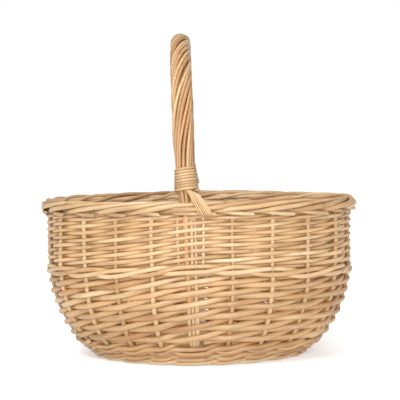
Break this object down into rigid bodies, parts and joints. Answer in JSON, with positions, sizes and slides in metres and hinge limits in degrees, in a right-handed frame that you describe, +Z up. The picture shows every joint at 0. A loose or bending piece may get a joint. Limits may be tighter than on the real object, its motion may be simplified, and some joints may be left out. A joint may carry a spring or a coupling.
{
  "type": "woven market basket",
  "caption": "Oval basket of woven natural willow rods with a flat base, bowl-shaped open sides, a rolled border and one fixed, roped hoop handle across its middle.",
  "frame": {"origin": "middle of the overall outline on the plane that the basket stands on", "axes": "+Z up, X along the oval's long axis, Y across it; the handle hoop spans the basket along Y and leans a little towards -X"},
  "size_m": [0.4298, 0.3418, 0.436],
  "materials": {
    "willow_weave": "buff willow rods, peeled and boiled, satin skin with fine lengthwise grain",
    "willow_stakes": "buff willow stakes, satin skin",
    "willow_border": "buff willow rods, satin skin with pale cut ends",
    "willow_base": "buff willow sticks and rods, satin skin",
    "willow_handle": "twisted buff willow rods, satin skin slightly polished by the hand",
    "willow_bow": "stout willow rod, orange-brown satin skin"
  },
  "bodies": {
    "root": {"base_long_sticks": "willow_base", "base_short_sticks": "willow_base", "base_weave": "willow_base", "side_stakes": "willow_stakes", "front_handle_stakes": "willow_stakes", "back_handle_stakes": "willow_stakes", "upsett_wale": "willow_weave", "lower_randing": "willow_weave", "middle_wale": "willow_weave", "upper_randing": "willow_weave", "border": "willow_border", "handle_bow": "willow_bow", "handle_rope": "willow_handle", "front_collar": "willow_handle", "back_collar": "willow_handle", "front_cross_band": "willow_handle", "back_cross_band": "willow_handle"}
  },
  "joints": []
}
